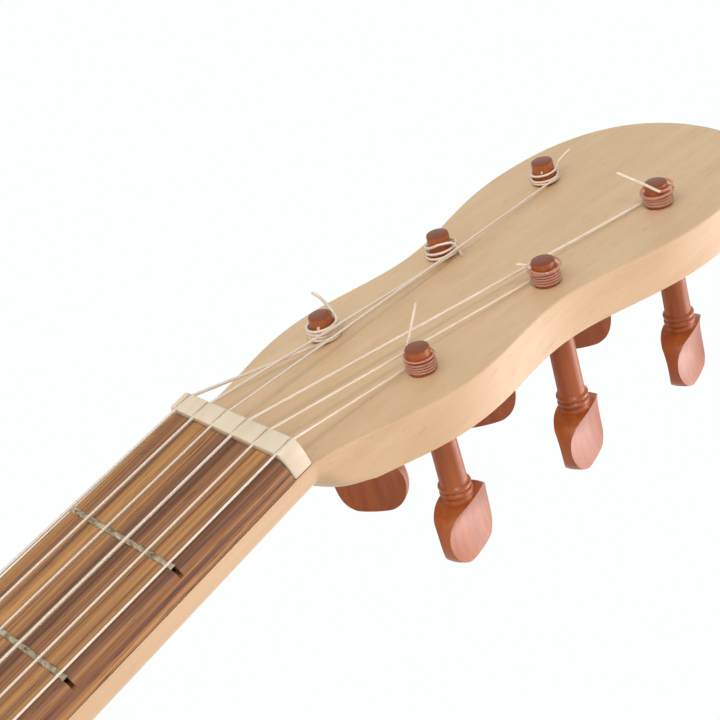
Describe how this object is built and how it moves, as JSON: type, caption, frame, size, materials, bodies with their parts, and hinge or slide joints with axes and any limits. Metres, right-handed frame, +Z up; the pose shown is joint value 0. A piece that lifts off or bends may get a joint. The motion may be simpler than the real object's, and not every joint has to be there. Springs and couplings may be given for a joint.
{
  "type": "guitar on floor stand",
  "caption": "Gut-style guitar with a figure-of-eight peg head and turning friction pegs, resting on a low slotted wooden floor stand that it lifts off.",
  "frame": {"origin": "centre of the footprint's bounding box on the floor, under the feet of the stand", "axes": "+Z up, -Y the way the strings and soundboard face, +X towards the treble strings"},
  "size_m": [0.298, 0.3477, 1.0008],
  "materials": {
    "maple": "satin oil varnish",
    "spruce": "satin oil varnish",
    "dark_wood": "satin",
    "board_wood": "oiled, open pores",
    "peg_wood": "polished",
    "inner_wood": "bare",
    "bone": "polished bone",
    "fret_metal": "worn, polished",
    "nylon": "clear nylon",
    "wound_metal": "silver-plated winding",
    "stand_wood": "satin",
    "cork": "matt cork"
  },
  "bodies": {
    "stand": {"stand_side_bass": "stand_wood", "stand_side_treble": "stand_wood", "stand_rail_front": "stand_wood", "stand_rail_rear": "stand_wood", "arm_pad_bass": "cork", "arm_pad_treble": "cork", "back_pad_bass": "cork", "back_pad_treble": "cork"},
    "guitar": {"soundboard": "spruce", "back_plate": "maple", "rib_bass": "maple", "rib_treble": "maple", "binding_front": "dark_wood", "binding_back": "dark_wood", "lining_front": "inner_wood", "lining_back": "inner_wood", "neck_block": "inner_wood", "tail_block": "inner_wood", "front_bar_1": "inner_wood", "front_bar_2": "inner_wood", "front_bar_3": "inner_wood", "back_bar_1": "inner_wood", "back_bar_2": "inner_wood", "bridge": "dark_wood", "saddle": "bone", "end_button": "dark_wood", "neck_and_head": "maple", "heel_cap": "dark_wood", "fingerboard": "board_wood", "fret_1": "fret_metal", "fret_2": "fret_metal", "fret_3": "fret_metal", "fret_4": "fret_metal", "fret_5": "fret_metal", "fret_6": "fret_metal", "fret_7": "fret_metal", "fret_8": "fret_metal", "fret_9": "fret_metal", "fret_10": "fret_metal", "fret_11": "fret_metal", "fret_12": "fret_metal", "nut": "bone", "string_1": "nylon", "string_2": "nylon", "string_3": "nylon", "string_4": "wound_metal", "string_5": "wound_metal", "string_6": "wound_metal"},
    "peg_1": {"peg_1": "peg_wood", "winding_1": "nylon"},
    "peg_2": {"peg_2": "peg_wood", "winding_2": "nylon"},
    "peg_3": {"peg_3": "peg_wood", "winding_3": "nylon"},
    "peg_4": {"peg_4": "peg_wood", "winding_4": "wound_metal"},
    "peg_5": {"peg_5": "peg_wood", "winding_5": "wound_metal"},
    "peg_6": {"peg_6": "peg_wood", "winding_6": "wound_metal"}
  },
  "joints": [
    {"name": "guitar_lift", "type": "slide", "parent": "stand", "child": "guitar", "axis": [0, 0, 1], "range_m": [0, 0.3]},
    {"name": "peg_1_turn", "type": "hinge", "parent": "guitar", "child": "peg_1", "pos_m": [0.019, 0.07974, 0.87702], "axis": [0, -0.9033, 0.4289], "continuous": true},
    {"name": "peg_2_turn", "type": "hinge", "parent": "guitar", "child": "peg_2", "pos_m": [0.02, 0.09947, 0.91858], "axis": [0, -0.9033, 0.4289], "continuous": true},
    {"name": "peg_3_turn", "type": "hinge", "parent": "guitar", "child": "peg_3", "pos_m": [0.0212, 0.11907, 0.95986], "axis": [0, -0.9033, 0.4289], "continuous": true},
    {"name": "peg_4_turn", "type": "hinge", "parent": "guitar", "child": "peg_4", "pos_m": [-0.0212, 0.11907, 0.95986], "axis": [0, -0.9033, 0.4289], "continuous": true},
    {"name": "peg_5_turn", "type": "hinge", "parent": "guitar", "child": "peg_5", "pos_m": [-0.02, 0.09947, 0.91858], "axis": [0, -0.9033, 0.4289], "continuous": true},
    {"name": "peg_6_turn", "type": "hinge", "parent": "guitar", "child": "peg_6", "pos_m": [-0.019, 0.07974, 0.87702], "axis": [0, -0.9033, 0.4289], "continuous": true}
  ]
}
